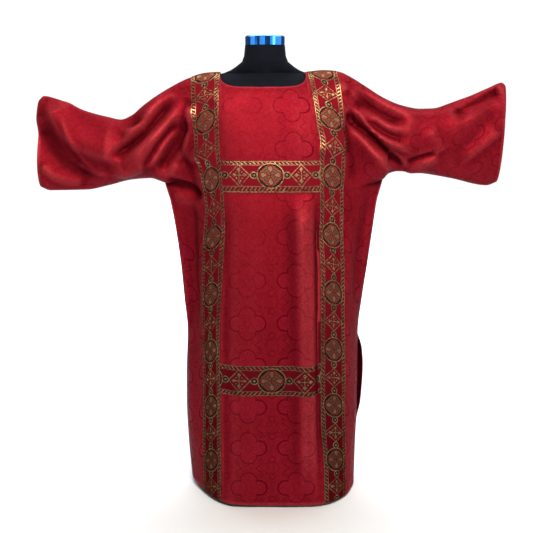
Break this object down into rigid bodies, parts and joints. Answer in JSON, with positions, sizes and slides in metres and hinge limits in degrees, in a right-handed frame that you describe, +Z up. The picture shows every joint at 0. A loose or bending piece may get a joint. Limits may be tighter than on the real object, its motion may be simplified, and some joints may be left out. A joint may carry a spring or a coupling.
{
  "type": "dalmatic on a dress form",
  "caption": "Wide-sleeved knee-length vestment with two long orphrey bands and two cross bands, on a limbless display form with a round base.",
  "frame": {"origin": "centre of the stand's underside, on the form's own axis", "axes": "+Z up, the garment's front faces -Y, +X is to the viewer's right"},
  "size_m": [1.3909, 0.416, 1.3935],
  "materials": {
    "damask_red": "satin",
    "galloon_gold": "metallic thread",
    "form_black": "jersey over a moulded form",
    "cap_blue": "polished",
    "stand_steel": "satin"
  },
  "bodies": {
    "root": {"front": "damask_red", "back": "damask_red", "band_front_left": "galloon_gold", "band_front_right": "galloon_gold", "band_back_left": "galloon_gold", "band_back_right": "galloon_gold", "crossband_front_chest": "galloon_gold", "crossband_front_knee": "galloon_gold", "crossband_back_chest": "galloon_gold", "crossband_back_knee": "galloon_gold", "form_torso": "form_black", "form_neck_cap": "cap_blue", "stand_pole": "stand_steel", "stand_collar": "stand_steel", "stand_base": "stand_steel"}
  },
  "joints": []
}
